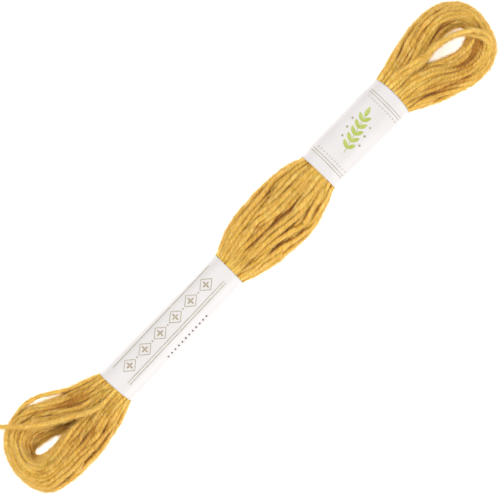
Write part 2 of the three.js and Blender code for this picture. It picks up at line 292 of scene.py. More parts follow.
def even_line(points, count):
    """A smooth line through points, as evenly spaced points."""
    points = np.array(points)
    along = distances(points)
    return smooth_rows(along, points, np.linspace(0, along[-1], count))


def ease(value, low, high):
    """0 below low, 1 above high, and a smooth step between."""
    t = np.clip((value - low) / (high - low), 0, 1)
    return t * t * (3 - 2 * t)


def bundle_at(x):
    """The columns of the bundle at each x."""
    table = np.array(BUNDLE)
    rows = smooth_rows(table[:, 0], table, np.ravel(x))
    return {key: rows[:, i].reshape(np.shape(x)) for i, key in enumerate(BUNDLE_COLUMNS)}


def oval_at(x):
    """The middle of the bundle's section at x, in Y and Z, and half its size."""
    at = bundle_at(x)
    middle = (at["back"] + at["front"]) / 2, (at["top"] + at["base"]) / 2
    half = (at["back"] - at["front"]) / 2, (at["top"] - at["base"]) / 2
    return middle, half


def end_rows(table):
    """The columns of an open end, at each station between its first and last row."""
    table = np.array(table)
    along = distances((table[:, 0:2] + table[:, 2:4]) / 2)
    stations = np.linspace(0, along[-1], round(along[-1] / STATION) + 1)[1:-1]
    return dict(zip(END_COLUMNS, smooth_rows(along, table, stations).T))


# The stations round the ring: the back limb to the right, the right end, the front limb to the
# left, and the left end
bundle_start, bundle_end = BUNDLE[0][0], BUNDLE[-1][0]
bundle_x = np.linspace(bundle_start, bundle_end, 1 + round((bundle_end - bundle_start) / STATION))
bundle = bundle_at(bundle_x)
right_end = end_rows(RIGHT_END)
left_end = end_rows(LEFT_END)
counts = (len(bundle_x), len(right_end["base"]), len(bundle_x), len(left_end["base"]))
starts = np.append(0, np.cumsum(counts))
BACK, TURN_RIGHT, FRONT, TURN_LEFT = (slice(a, b) for a, b in zip(starts, starts[1:]))
STATIONS = starts[-1]


def ring_of(key, back, front):
    """A column of the ring: back limb, right end, front limb and left end."""
    return np.concatenate([back, right_end[key], front[::-1], left_end[key]])[:, None]


inner_y = ring_of("in_y", bundle["mid"], bundle["mid"])
outer_y = ring_of("out_y", bundle["back"], bundle["front"])
inner = np.hstack([ring_of("in_x", bundle_x, bundle_x), inner_y])
outer = np.hstack([ring_of("out_x", bundle_x, bundle_x), outer_y])
base = ring_of("base", bundle["base"], bundle["base"])
top = ring_of("top", bundle["top"], bundle["top"])
slope = ring_of("slope", bundle["slope"], 0 * bundle["slope"])
width = np.linalg.norm(outer - inner, axis=1, keepdims=True)
height = top - base
across = (outer - inner) / width
oval_middle, oval_reach = (np.stack(part, 1) for part in oval_at(bundle_x))


def bundled(own, back, front):
    """Values at the stations: own where the limbs are apart, the others in the bundle."""
    made = own.copy()
    share = 1 - apart_bundle[:, None]
    made[BACK] += share * (back - own[BACK])
    made[FRONT] += share[::-1] * (front - own[FRONT])
    return made


# 1 where the two limbs are apart, 0 where they are one bundle
apart_bundle = np.maximum(1 - ease(bundle_x, -57.0, -50.0), ease(bundle_x, 54.5, 61.0))
apart = bundled(np.ones((STATIONS, 1)), 0, 0)

# The middle of each section, which the outside of the yarn faces away from
own_hub = np.column_stack([(inner + outer) / 2, (base + top) / 2])
bundle_hub = np.column_stack([bundle_x, oval_middle])
hub = bundled(own_hub, bundle_hub, bundle_hub[::-1])


def under(band):
    """How far each station is under a band, from 0 to 1."""
    share = np.zeros((STATIONS, 1))
    for limb in (BACK, FRONT):
        x = inner[limb, :1]
        share[limb] = ease(x, band["start"], band["start"] + BAND_MARGIN)
        share[limb] *= 1 - ease(x, band["end"] - BAND_MARGIN, band["end"])
    return share


covered = under(LONG_BAND) + under(SHORT_BAND)


def strand_spacing():
    """How far apart the strands lie, for them to fill each section."""
    own = width * whole_share * height
    oval = 2 * oval_reach[:, :1] * oval_reach[:, 1:]
    area = bundled(own, oval, oval[::-1])
    return np.sqrt(FILL * area / TURNS / PACKING)


# The shares of a section's box that a sloping inner side takes away and leaves
lean_area = slope * (1 - FOOT) / (1 + HOLLOW)
whole_share = 1 - lean_area

spacing = strand_spacing()
radius = np.clip(RADIUS_SHARE * spacing, *RADIUS_RANGE)

# How far the middle of a strand stays inside the outline, or inside the paper
skin = 1.04 * radius + 0.2 * covered


def above_foot(h):
    """How far shares h of the height are above the foot, from 0 to 1."""
    return np.clip((h - FOOT) / (1 - FOOT), 0, 1)


def lean(h):
    """The share of the width that the inner side's slope takes, at shares h of the height."""
    return slope * above_foot(h) ** HOLLOW


def below(h):
    """The share of a section's area that is below shares h of its height."""
    return (h - lean_area * above_foot(h) ** (1 + HOLLOW)) / whole_share


def section_point(q, w):
    """Millimetres across and up, for shares q of the width inside and w of the area below."""
    h = w
    for _ in range(6):
        h = h - (below(h) - w) * whole_share / (1 - lean(h))
    return width * (1 - (1 - q) * (1 - lean(h))), base + h * height


def section_share(across_mm, up_mm):
    """The shares q and w of a point so many millimetres across and up."""
    h = np.clip((up_mm - base) / height, -0.5, 1.5)
    q = 1 - (1 - across_mm / width) / (1 - lean(h))
    return q, below(h)


def slow_noise(waves, seed):
    """Noise of size about 1 for each turn, smooth round the ring."""
    made = np.random.default_rng(seed)
    angle = TAU * np.arange(STATIONS) / STATIONS
    noise = np.zeros((STATIONS, TURNS))
    for k in waves:
        for wave in (np.cos(k * angle), np.sin(k * angle)):
            noise += wave[:, None] * made.normal(size=TURNS)
    return noise / math.sqrt(len(waves))


pressed = PRESSED * slope
pressed[BACK] += PRESSED
pressed[FRONT] += PRESSED

# How far each turn keeps below the top
sunk = skin + SINK * np.abs(slow_noise(range(2, 18), 61))


def hold(across_mm, up_mm, deep):
    """Draws the strands inside the outline of their section, deep below its top."""
    free = 1 + 3 * (1 - apart)
    h = (up_mm - base) / height - 0.5
    side = width * lean(h + 0.5)
    middle = (width + side) / 2
    edge = np.where(h > 0, deep, skin)
    a = (across_mm - middle) / ((width - side) / 2 - skin) / free
    b = h / (0.5 - edge / height) / free
    square = SQUARE + np.where(a < 0, pressed, 0)
    over = np.maximum((np.abs(a) ** square + np.abs(b) ** square) ** (1 / square), 1)
    return middle + (across_mm - middle) / over, base + (0.5 + h / over) * height


def hold_bundle(points, deep):
    """Draws the strands of both limbs inside the outline of the bundle."""
    middle = oval_middle[:, None]
    edge = skin[BACK]
    up = np.where(points[..., 1] > middle[..., 1], both_limbs(deep), edge)
    reach = oval_reach[:, None] - np.stack([edge + 0 * up, up], 2)
    share = (points - middle) / reach
    over = np.maximum((np.abs(share) ** SQUARE).sum(2) ** (1 / SQUARE), 1)
    held = middle + share / over[..., None] * reach
    return points + (1 - apart_bundle)[:, None, None] * (held - points)


def both_limbs(values):
    """A value for the strands of both limbs, at each station of the bundle."""
    return np.concatenate([values[BACK], values[FRONT][::-1]], 1)


def bundle_points(across_mm, up_mm):
    """Where the strands of both limbs are in the bundle, as Y and Z."""
    mid = bundle["mid"][:, None]
    y = np.concatenate([mid + across_mm[BACK], mid - across_mm[FRONT][::-1]], 1)
    return np.stack([y, both_limbs(up_mm)], 2)


def push_apart(points, distance, present):
    """How far strands nearer than a distance push each other, at each station."""
    gap = points[:, :, None] - points[:, None]
    far = np.sqrt((gap**2).sum(3)) + np.eye(points.shape[1])
    room = (distance[:, :, None] + distance[:, None]) / 2
    push = np.clip(room - far, 0, None) / far
    push *= present[:, :, None] * present[:, None]
    return STRAND_PUSH * (gap * push[..., None]).sum(2)


def flat_places(across_mm):
    """Where each strand is at each station, as X and Y."""
    return inner[:, None] + across[:, None] * across_mm[..., None]


def near_stations(points):
    """The stations that a line of points passes near."""
    far = np.linalg.norm(hub[:, None, :2] - points[:, :2], axis=2).min(1)
    return np.flatnonzero(far < NEAR)


class Line:
    """A line that the turns make room for: a stray turn or the loose end."""

    def __init__(self, points, reach, own=slice(0)):
        self.points = even_line(points, 40)
        self.reach = reach
        self.own = own
        self.near = near_stations(self.points)

    def push(self, across_mm, up_mm):
        """Moves the turns out of the line's way."""
        near = self.near
        places = np.concatenate([flat_places(across_mm)[near], up_mm[near][..., None]], 2)
        nearest = np.linalg.norm(places[:, :, None] - self.points, axis=3).argmin(2)
        gap = places - self.points[nearest]
        far = np.linalg.norm(gap, axis=2)
        push = LINE_PUSH * np.clip(self.reach + skin[near] - far, 0, None) / np.maximum(far, 0.1)
        push[:, self.own] = 0
        across_mm[near] += push * (gap[..., :2] * across[near][:, None]).sum(2)
        up_mm[near] += push * gap[..., 2]


class Valley:
    """A stretch where the turns lie deeper."""

    def __init__(self, half, depth, points):
        self.half = half
        self.depth = depth
        self.points = even_line(points, 40)
        self.near = near_stations(self.points)

    def sink(self, across_mm, deep):
        """Adds to how deep each turn lies."""
        flat = flat_places(across_mm)[self.near]
        far = np.linalg.norm(flat[:, :, None] - self.points, axis=3)
        along = (far.argmin(2) + 0.5) / len(self.points)
        share = np.sin(math.pi * along) * np.exp(-((far.min(2) / self.half) ** 2))
        deep[self.near] += self.depth * share


def station_of(point):
    """The station whose section is nearest to a point."""
    return int(np.linalg.norm(own_hub[:, :2] - np.array(point[:2]), axis=1).argmin())


class Stray:
    """A turn that leaves the rest for a stretch."""

    def __init__(self, turn, points):
        self.turn = turn
        self.points = points
        self.first, self.last = station_of(points[0]), station_of(points[-1])
        steps = (self.last - self.first) % STATIONS
        self.stretch = (self.first + np.arange(steps + 1)) % STATIONS
        self.line = Line(points, STRAY_REACH, turn)
        self.goals = [self.goal(self.first, points[0]), self.goal(self.last, points[-1])]

    def goal(self, station, point):
        """A station, and the shares across and up of a point in its section."""
        across_mm = (np.array(point[:2]) - inner[station]) @ across[station]
        q, w = section_share(across_mm, point[2])
        return station, q[station, 0], w[station, 0]

    def pull(self, q, w):
        """Draws the turn to where it leaves the rest and joins them again."""
        for station, goal_q, goal_w in self.goals:
            for step in range(1 - PULL_STATIONS, PULL_STATIONS):
                i = (station + step) % STATIONS
                weight = STRAY_PULL * (1 - abs(step) / PULL_STATIONS)
                q[i, self.turn] += weight * (goal_q - q[i, self.turn])
                w[i, self.turn] += weight * (goal_w - w[i, self.turn])

    def lay(self, places):
        """Lays the turn along its own line, and eases it in at both ends."""
        places[self.turn, self.stretch] = even_line(self.points, len(self.stretch))
        steps = np.arange(-JOINT_STATIONS, JOINT_STATIONS + 1)
        joint = np.append(self.first + steps, self.last + steps) % STATIONS
        for _ in range(JOINT_ROUNDS):
            line = places[self.turn]
            line[joint] = (line[joint - 1] + 2 * line[joint] + line[(joint + 1) % STATIONS]) / 4


strays = [Stray(turn, points) for turn, points in enumerate(STRAYS)]
present = np.ones((STATIONS, TURNS))
for stray in strays:
    present[stray.stretch[2:-2], stray.turn] = 0
obstacles = [stray.line for stray in strays]
obstacles.append(Line(TAIL_ON_YARN, TAIL_DIAMETER / 2))
valleys = [Valley(*row) for row in VALLEYS]


def smoothed(values):
    """Values at each station, evened out along the ring."""
    for _ in range(STIFFNESS):
        values = (np.roll(values, 1, 0) + 2 * values + np.roll(values, -1, 0)) / 4
    return values


def wandering(made, seed):
    """A share for each turn that wanders round the ring."""
    share = made.uniform(0.04, 0.96, TURNS)
    for i, (size, waves) in enumerate(WANDER):
        share = share + size * slow_noise(waves, seed + i)
    return share


def depths(across_mm):
    """How far each turn keeps below the top, with the valleys."""
    deep = sunk.copy()
    for valley in valleys:
        valley.sink(across_mm, deep)
    return smoothed(smoothed(deep))


def part_strands(across_mm, up_mm, deep):
    """Pushes the strands apart, in the open ends and in the bundle."""
    room = np.repeat(spacing, TURNS, 1)
    for part in (TURN_RIGHT, TURN_LEFT):
        limb = np.stack([across_mm[part], up_mm[part]], 2)
        limb += push_apart(limb, room[part], present[part])
        across_mm[part], up_mm[part] = limb[..., 0], limb[..., 1]
    points = bundle_points(across_mm, up_mm)
    points += push_apart(points, both_limbs(room), both_limbs(present))
    points = hold_bundle(points, deep)
    mid = bundle["mid"][:, None]
    across_mm[BACK] = points[:, :TURNS, 0] - mid
    across_mm[FRONT] = (mid - points[:, TURNS:, 0])[::-1]
    up_mm[BACK] = points[:, :TURNS, 1]
    up_mm[FRONT] = points[:, TURNS:, 1][::-1]


def settled_turns():
    """Each turn's place in each section, as shares across and up."""
    made = np.random.default_rng(5)
    wander = np.stack([wandering(made, seed) for seed in (21, 31)], 1)
    shares = wander.copy()
    for _ in range(ROUNDS):
        shares = wander + smoothed(shares - wander)
        q, w = shares[:, 0], shares[:, 1]
        for stray in strays:
            stray.pull(q, w)
        across_mm, up_mm = section_point(q, w)
        for obstacle in obstacles:
            obstacle.push(across_mm, up_mm)
        deep = depths(across_mm)
        part_strands(across_mm, up_mm, deep)
        shares = np.stack(section_share(*hold(across_mm, up_mm, deep)), 1)
    shares = wander + smoothed(shares - wander)
    return shares[:, 0], shares[:, 1]


def turn_places(q, w):
    """The line of each turn, as (turn, station, xyz) in millimetres."""
    across_mm, up_mm = section_point(q, w)
    places = np.concatenate([flat_places(across_mm), up_mm[..., None]], 2).transpose(1, 0, 2)
    for stray in strays:
        stray.lay(places)
    return places


q, w = settled_turns()
places = turn_places(q, w)


def outer_share():
    """How near each turn is to the outside of the yarn. 1 is on it."""
    own = (np.abs(2 * q - 1) ** SQUARE + np.abs(2 * w - 1) ** SQUARE) ** (1 / SQUARE)
    points = bundle_points(*section_point(q, w))
    share = np.abs(points - oval_middle[:, None]) / oval_reach[:, None]
    oval = (share**SQUARE).sum(2) ** (1 / SQUARE)
    return bundled(own, oval[:, :TURNS], oval[:, TURNS:][::-1])


outside = outer_share()
for stray in strays:
    outside[stray.stretch, stray.turn] = 1

# 1 where a turn shows its twist, 0 deep inside or under a band
shown = ease(outside, *SHOWN_SHARE) * (covered < 0.9)


def along_curve(points, at, closed):
    """The smooth curve through points, read at fractions of their numbers."""
    count = len(points)
    i = np.floor(at).astype(int)
    t = (at - i).reshape((-1,) + (1,) * (points.ndim - 1))
    near = [i - 1, i, i + 1, i + 2]
    near = [n % count if closed else np.clip(n, 0, count - 1) for n in near]
    a, b, c, d = (points[n] for n in near)
    bend = 2 * a - 5 * b + 4 * c - d
    turn = 3 * b - a - 3 * c + d
    return b + ((c - a) * t + bend * t**2 + turn * t**3) / 2


def fork_shade(points):
    """How much painted shade the fork of the left end puts on points, from 0 to 1."""
    far = np.linalg.norm(points[..., :2] - FORK_SHADE_MIDDLE, axis=-1)
    low = 1 - ease(points[..., 2], 0.6 * FORK_SHADE_HEIGHT, FORK_SHADE_HEIGHT)
    return low * np.exp(-((far / FORK_SHADE_REACH) ** 2))


# The faces that close an open end of a strand
CAP = np.array([(0, 1, 2, 3), (0, 3, 4, 7), (4, 5, 6, 7)])


class Strand:
    """A twisted strand along a line, as rings of points."""

    def __init__(self, points, detail, diameter, closed, seed):
        made = np.random.default_rng(seed)
        ahead = np.roll(points, -1, 0) if closed else points[1:]
        lengths = np.linalg.norm(ahead - points[: len(ahead)], axis=1)
        step = COARSE_STEP + (FINE_STEP - COARSE_STEP) * detail[: len(ahead)]
        rate = np.append(0, np.cumsum(lengths / step))
        count = max(4, round(rate[-1]))
        goal = np.linspace(0, rate[-1], count + 1)[: count if closed else count + 1]
        self.closed = closed
        self.at = np.interp(goal, rate, np.arange(len(rate)))
        self.along = np.interp(self.at, np.arange(len(rate)), np.append(0, np.cumsum(lengths)))
        self.length = lengths.sum()
        self.centre = along_curve(points, self.at, closed)
        self.detail = np.clip(along_curve(detail, self.at, closed), 0, 1)
        self.frame_rings()
        self.turning = self.twisted(made)
        share = np.arange(len(PLIES)) / len(PLIES)
        angle = TAU * (share + self.turning[:, None])
        reach = self.detail[:, None] * PLIES + (1 - self.detail[:, None]) * PLAIN
        reach = reach * along_curve(diameter, self.at, closed)[:, None]
        self.normals = np.cos(angle)[..., None] * self.side[:, None]
        self.normals += np.sin(angle)[..., None] * self.up[:, None]
        self.rings = self.centre[:, None] + reach[..., None] * self.normals
        self.rings[..., 2] = np.maximum(self.rings[..., 2], FLOOR_GAP)
        self.facing = np.ones(self.rings.shape[:2])
        self.depth = np.zeros(len(self.rings))

    def twisted(self, made):
        """How many times the plies have turned at each ring."""
        twists = self.length / TWIST
        if self.closed:
            twists = round(twists)
        turning = twists / self.length * self.along + made.uniform(0, 1)
        for wave in UNEVEN_LENGTHS:
            waves = round(self.length / wave)
            swing = TAU * (waves * self.along / self.length + made.uniform(0, 1))
            turning += UNEVEN_TWIST * np.sin(swing)
        return turning

    def know_outside(self, middle, outer, free):
        """Works out how far each point faces outwards and how deep each ring lies, which set the
        painted shade.
        """
        out = unit(self.centre - along_curve(middle, self.at, True))
        free = np.clip(along_curve(free, self.at, True), 0, 1)[:, None]
        self.facing = free + (1 - free) * (self.normals * out[:, None]).sum(2)
        # Rings deep inside the yarn take painted shade
        depth = (DEPTH_SHADE_SHARE - along_curve(outer, self.at, True)) / 0.25
        self.depth = (1 - free[:, 0]) * np.clip(depth, 0, 1)

    def painted_shade(self):
        """How much painted shade each point takes, from 0 to 1: between the strands, deep inside,
        in the ply grooves and in the fork.
        """
        # Painted shade where a point faces into its neighbours
        shade_between = 1 - ease(self.facing, *SHADE_FACING)
        depth = DEPTH_SHADE_WEIGHT * self.depth[:, None]
        # Painted shade in the grooves between the plies
        groove_shade = GROOVE_SHADE_WEIGHT * self.detail[:, None] * (PLIES.max() - PLIES) / np.ptp(PLIES)
        return np.clip(shade_between + depth + groove_shade + FORK_SHADE_WEIGHT * fork_shade(self.rings), 0, 1)

    def frame_rings(self):
        """The directions along, beside and above the strand at each ring."""
        if self.closed:
            ahead = np.roll(self.centre, -1, 0) - np.roll(self.centre, 1, 0)
        else:
            ahead = np.gradient(self.centre, axis=0)
        self.tangent = unit(ahead)
        self.side = unit(np.cross(self.tangent, (0, 0, 1.0)))
        self.up = np.cross(self.side, self.tangent)

    def corners(self):
        """The ring and the place round it of each corner of each face."""
        rings = len(self.rings) if self.closed else len(self.rings) - 1
        i, j = np.meshgrid(np.arange(rings), np.arange(len(PLIES)), indexing="ij")
        return np.stack([i, i + 1, i + 1, i], 2), np.stack([j, j, j + 1, j + 1], 2)

    def faces(self, first):
        """The faces between the rings, whose points are numbered from first."""
        rings, around = self.rings.shape[:2]
        ring, place = self.corners()
        faces = (first + ring % rings * around + place % around).reshape(-1, 4)
        if self.closed:
            return faces
        last = first + (rings - 1) * around
        return np.concatenate([faces, first + CAP, last + CAP[:, ::-1]])

    def uv(self, lane):
        """UV of the faces: millimetres along, and the share round in a lane."""
        along = np.append(self.along, self.length)
        half_turn = lane + 0.5 * np.append(self.turning, self.turning[-1])
        ring, place = self.corners()
        uv = np.stack([along[ring], place / len(PLIES) + half_turn[ring]], 3).reshape(-1, 2)
        if self.closed:
            return uv
        return np.concatenate([uv, np.zeros((2 * CAP.size, 2))])


def linked(name, data):
    """A new object in the scene."""
    made = bpy.data.objects.new(name, data)
    scene.collection.objects.link(made)
    return made


def new_object(name, vertices, faces, material, uv=None, painted_shade=None):
    """A smooth mesh object from arrays of vertices and faces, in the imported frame."""
    mesh = bpy.data.meshes.new(name)
    faces = np.asarray(faces, np.int32)
    mesh.vertices.add(len(vertices))
    mesh.vertices.foreach_set("co", to_frame(vertices).astype(np.float32).ravel())
    mesh.loops.add(faces.size)
    mesh.loops.foreach_set("vertex_index", faces.ravel())
    mesh.polygons.add(len(faces))
    mesh.polygons.foreach_set("loop_start", np.arange(len(faces), dtype=np.int32) * faces.shape[1])
    mesh.update(calc_edges=True)
    mesh.polygons.foreach_set("use_smooth", np.ones(len(faces), bool))
    if uv is not None:
        layer = mesh.uv_layers.new(name="thread")
        layer.data.foreach_set("uv", np.asarray(uv, np.float32).ravel())
    # The painted shade of each point, as an attribute that the wool material reads
    if painted_shade is not None:
        layer = mesh.attributes.new("painted_shade", "FLOAT", "POINT")
        layer.data.foreach_set("value", painted_shade.astype(np.float32).ravel())
    mesh.materials.append(material)
    made = linked(name, mesh)
    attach(made, "root")
    return made


class Nodes:
    """Adds nodes to a material and joins them."""

    def __init__(self, name):
        self.material = bpy.data.materials.new(name)
        self.material.use_nodes = True
        self.tree = self.material.node_tree
        self.shader = self.tree.nodes["Principled BSDF"]

    def put(self, socket, value):
        """Gives a socket a value, or joins it to another socket."""
        if isinstance(value, bpy.types.NodeSocket):
            self.tree.links.new(value, socket)
        else:
            socket.default_value = value

    def add(self, kind, inputs, output=0, **settings):
        """Adds a node and gives back one of its outputs."""
        node = self.tree.nodes.new("ShaderNode" + kind)
        for key, value in settings.items():
            setattr(node, key, value)
        for key, value in inputs.items():
            self.put(node.inputs[key], value)
        return node.outputs[output]

    def noise(self, vector, scale, detail, rough=0.5):
        inputs = {"Vector": vector, "Scale": scale, "Detail": detail, "Roughness": rough}
        return self.add("TexNoise", inputs)

    def mixed(self, weighted):
        """The sum of values, each times its weight."""
        total = 0.0
        for value, weight in weighted:
            inputs = {0: value, 1: weight, 2: total}
            total = self.add("Math", inputs, operation="MULTIPLY_ADD")
        return total

    def place(self):
        return self.add("TexCoord", {}, "Object")

    def ramp(self, factor, stops):
        """A colour for each value of a factor, from its stops."""
        colour = self.add("ValToRGB", {"Fac": factor})
        elements = colour.node.color_ramp.elements
        for i, (place, value) in enumerate(stops):
            stop = elements[i] if i < 2 else elements.new(place)
            stop.position = place
            stop.color = (*value, 1)
        return colour

    def shade(self, **inputs):
        for key, value in inputs.items():
            self.put(self.shader.inputs[key.replace("_", " ")], value)
        return self.material


# The wool from dark to light: in the open, as painted shade between the strands and deep inside,
# and loose fibres
WOOL_TONES = (
    (0.39, (0.63, 0.36, 0.040)),
    (0.50, (0.82, 0.52, 0.095)),
    (0.61, (0.91, 0.67, 0.21)),
)
PAINTED_SHADE_TONES = ((0.39, (0.25, 0.072, 0.003)), (0.61, (0.42, 0.155, 0.011)))
FUZZ_TONES = ((0.3, (0.75, 0.47, 0.09)), (0.7, (0.88, 0.64, 0.20)))


def wool_material():
    """Wool whose fibres run along the strand, lighter and darker from place to place, and darker
    and redder where shade is painted on it.
    """
    nodes = Nodes("wool")
    thread = nodes.add("UVMap", {}, uv_map="thread")

    def thread_noise(scale, detail, rough=0.5):
        scaled = nodes.add("Mapping", {"Vector": thread, "Scale": scale})
        return nodes.noise(scaled, 1.0, detail, rough)

    fibres = thread_noise((1.3, 22, 1), 3.0, 0.65)
    lumps = thread_noise((0.9, 2.2, 1), 2.0)
    shades = thread_noise((0.03, 0.9, 1), 1.0)
    tone = nodes.mixed(((fibres, 0.4), (lumps, 0.25), (shades, 0.35)))
    open_colour = nodes.ramp(tone, WOOL_TONES)
    painted_shade_colour = nodes.ramp(tone, PAINTED_SHADE_TONES)
    # The painted shade: darker, redder tones mixed in by the shade attribute of each point
    painted_shade = nodes.add("Attribute", {}, "Fac", attribute_name="painted_shade")
    mix = {"Factor": painted_shade, 6: open_colour, 7: painted_shade_colour}
    colour = nodes.add("Mix", mix, 2, data_type="RGBA")
    height = nodes.mixed(((fibres, 0.6), (lumps, 0.4)))
    bump = nodes.add("Bump", {"Height": height, "Strength": 0.7, "Distance": 0.00015})
    return nodes.shade(
        Base_Color=colour,
        Roughness=0.9,
        Specular_IOR_Level=0.15,
        Sheen_Weight=0.4,
        Sheen_Roughness=0.55,
        Sheen_Tint=(1.0, 0.88, 0.62, 1),
        Subsurface_Weight=0.4,
        Subsurface_Radius=(1.0, 0.5, 0.12),
        Subsurface_Scale=0.0009,
        Normal=bump,
    )


def fuzz_material():
    """Loose fibres, lighter than the yarn that they stand on."""
    nodes = Nodes("wool_fuzz")
    colour = nodes.ramp(nodes.noise(nodes.place(), 700.0, 1.0), FUZZ_TONES)
    return nodes.shade(Base_Color=colour, Roughness=0.8, Specular_IOR_Level=0.2)


def paper_material():
    """Smooth white paper with a faint grain."""
    nodes = Nodes("paper")
    place = nodes.place()
    grain = nodes.noise(place, 2600.0, 3.0, 0.6)
    cloud = nodes.noise(place, 120.0, 2.0)
    tone = nodes.mixed(((grain, 0.5), (cloud, 0.5)))
    colour = nodes.ramp(tone, ((0.3, (0.64, 0.61, 0.60)), (0.7, (0.69, 0.66, 0.65))))
    bump = nodes.add("Bump", {"Height": grain, "Strength": 0.15, "Distance": 0.00003})
    return nodes.shade(Base_Color=colour, Roughness=0.5, Specular_IOR_Level=0.4, Normal=bump)


def ink_material(name, thin, full):
    """Ink that lies a little thinner in places."""
    nodes = Nodes(name)
    colour = nodes.ramp(nodes.noise(nodes.place(), 1500.0, 2.0), ((0.35, full), (0.7, thin)))
    return nodes.shade(Base_Color=colour, Roughness=0.45, Specular_IOR_Level=0.4)


wool = wool_material()
fuzz_wool = fuzz_material()
paper = paper_material()


def camera_above():
    """A camera straight above, turned so that the hank runs up to the right."""
    view_width, view_level, lens, sensor = 125.0, 5.0, 100.0, 36.0
    camera = linked("camera", bpy.data.cameras.new("camera"))
    camera.data.lens = lens
    camera.data.sensor_width = sensor
    camera.data.clip_start = 0.01
    camera.location = to_frame((0, 0, view_level + view_width * lens / sensor))
    camera.rotation_euler = (0, 0, math.radians(-45))
    scene.camera = camera


camera_above()


def loose_end():
    """The loose end of the yarn, cut off bare."""
    line = even_line(TAIL, 90)
    thick = TAIL_DIAMETER * (1 + 0.05 * np.sin(np.arange(len(line)) * 0.7))
    thick[-2:] *= (0.92, 0.72)
    strand = Strand(line, np.ones(len(line)), thick, False, 7)
    points = strand.rings.reshape(-1, 3)
    # The loose end carries its painted shade too
    made = new_object("loose_end", points, strand.faces(0), wool, strand.uv(TURNS), strand.painted_shade())
    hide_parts("yarn_tail")
    return strand


tail_strand = loose_end()


# The turns of the ring

YARN_PIECES = 4


thickness = 1 + UNEVEN_THICKNESS * slow_noise(range(20, 60), 400)


def turn_strand(turn):
    made = np.random.default_rng(100 + turn)
    diameter = 2 * radius[:, 0] * made.uniform(0.94, 1.05) * thickness[:, turn]
    strand = Strand(places[turn], shown[:, turn], diameter, True, 200 + turn)
    strand.know_outside(hub, outside[:, turn], 1 - present[:, turn])
    return strand


turn_strands = [turn_strand(turn) for turn in range(TURNS)]


def yarn_piece(piece):
    """One mesh of every fourth turn."""
    parts = []
    first = 0
    for turn in range(piece, TURNS, YARN_PIECES):
        strand = turn_strands[turn]
        points = strand.rings.reshape(-1, 3)
        # Each turn's points carry their painted shade
        parts.append((points, strand.faces(first), strand.uv(turn), strand.painted_shade().ravel()))
        first += len(points)
    vertices, faces, uv, painted_shade = (np.concatenate(part) for part in zip(*parts))
    made = new_object(f"yarn_turns_{piece + 1}", vertices, faces, wool, uv, painted_shade)
    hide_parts("yarn_ring")


for piece in range(YARN_PIECES):
    yarn_piece(piece)


# Fine fibres that stand off the outside of the yarn

FUZZ_PIECES = 2
FUZZ = {"count": 32000, "length": (0.5, 2.0), "lift": (0.05, 0.95), "width": 0.045}
FUZZ_SHARE = 0.76


def footing(strand, open_air):
    """Points on the outside of a strand, with the ways out and along."""
    keep = (strand.facing > 0.6) & open_air[:, None] & (strand.detail > 0.9)[:, None]
    ring = np.nonzero(keep)[0]
    return strand.rings[keep], strand.normals[keep], strand.tangent[ring]


def clear_of_bands(x):
    """Whether places along X are out of a fibre's reach of the bands."""
    clear = np.ones(x.shape, bool)
    for band in (LONG_BAND, SHORT_BAND):
        clear &= (x < band["start"] - FUZZ["length"][1]) | (x > band["end"] + FUZZ["length"][1])
    return clear


def turn_footing(turn):
    strand = turn_strands[turn]
    open_air = along_curve(outside[:, turn], strand.at, True) > FUZZ_SHARE
    return footing(strand, open_air & clear_of_bands(strand.centre[:, 0]))


def fuzz(name, feet, seed):
    """A mesh of short curved fibres, each a ribbon that narrows to a point."""
    made = np.random.default_rng(seed)
    root, out, along = (np.concatenate(part) for part in zip(*feet))
    count = FUZZ["count"]
    pick = made.integers(0, len(root), count)
    root, out, along = root[pick], out[pick], along[pick]
    root = root + made.uniform(-0.2, 0.2, (count, 1)) * along
    aside = np.cross(out, along)
    length = made.uniform(*FUZZ["length"], count) * made.choice((-1, 1), count)
    low, high = FUZZ["lift"]
    lift = low + (high - low) * made.uniform(0, 1, count) ** 1.5
    drift = made.normal(0, 0.25, count)
    t = np.linspace(0, 1, 4)[:, None, None]
    rise = 1.8 * t - 0.9 * t**2
    line = root + (length[:, None] * along) * t + (lift[:, None] * out) * rise
    line = line + (drift[:, None] * aside) * t**2 - 0.1 * out
    half = FUZZ["width"] / 2 * np.array([1, 1, 0.8, 0.1])[:, None, None]
    roll = made.uniform(0, math.pi, count)[:, None]
    flat = np.cos(roll) * aside + np.sin(roll) * out
    vertices = np.stack([line - half * flat, line + half * flat], 2)
    vertices = vertices.transpose(1, 0, 2, 3).reshape(-1, 3)
    vertices[:, 2] = np.maximum(vertices[:, 2], FLOOR_GAP)
    first = 8 * np.arange(count)[:, None, None]
    faces = first + np.array([(0, 1, 3, 2), (2, 3, 5, 4), (4, 5, 7, 6)])
    made = new_object(name, vertices, faces.reshape(-1, 4), fuzz_wool)


feet = [turn_footing(turn) for turn in range(TURNS)]
feet.append(footing(tail_strand, clear_of_bands(tail_strand.centre[:, 0])))
for piece in range(FUZZ_PIECES):
    fuzz(f"fuzz_{piece + 1}", feet, 77 + piece)


# The paper bands

# The lap of the paper: where it starts, how far it goes over and where it steps up, in half turns,
# and by how much
LAP = {"from": 1.36, "over": 0.24, "step": (1.96, 2.02), "rise": 0.16}

# How far the ends of the paper stand out, and over what length
FLARE = 0.1
FLARE_LENGTH = 0.7
BAND_ROWS_PER_MM = 2.5
BAND_COLUMNS = 110


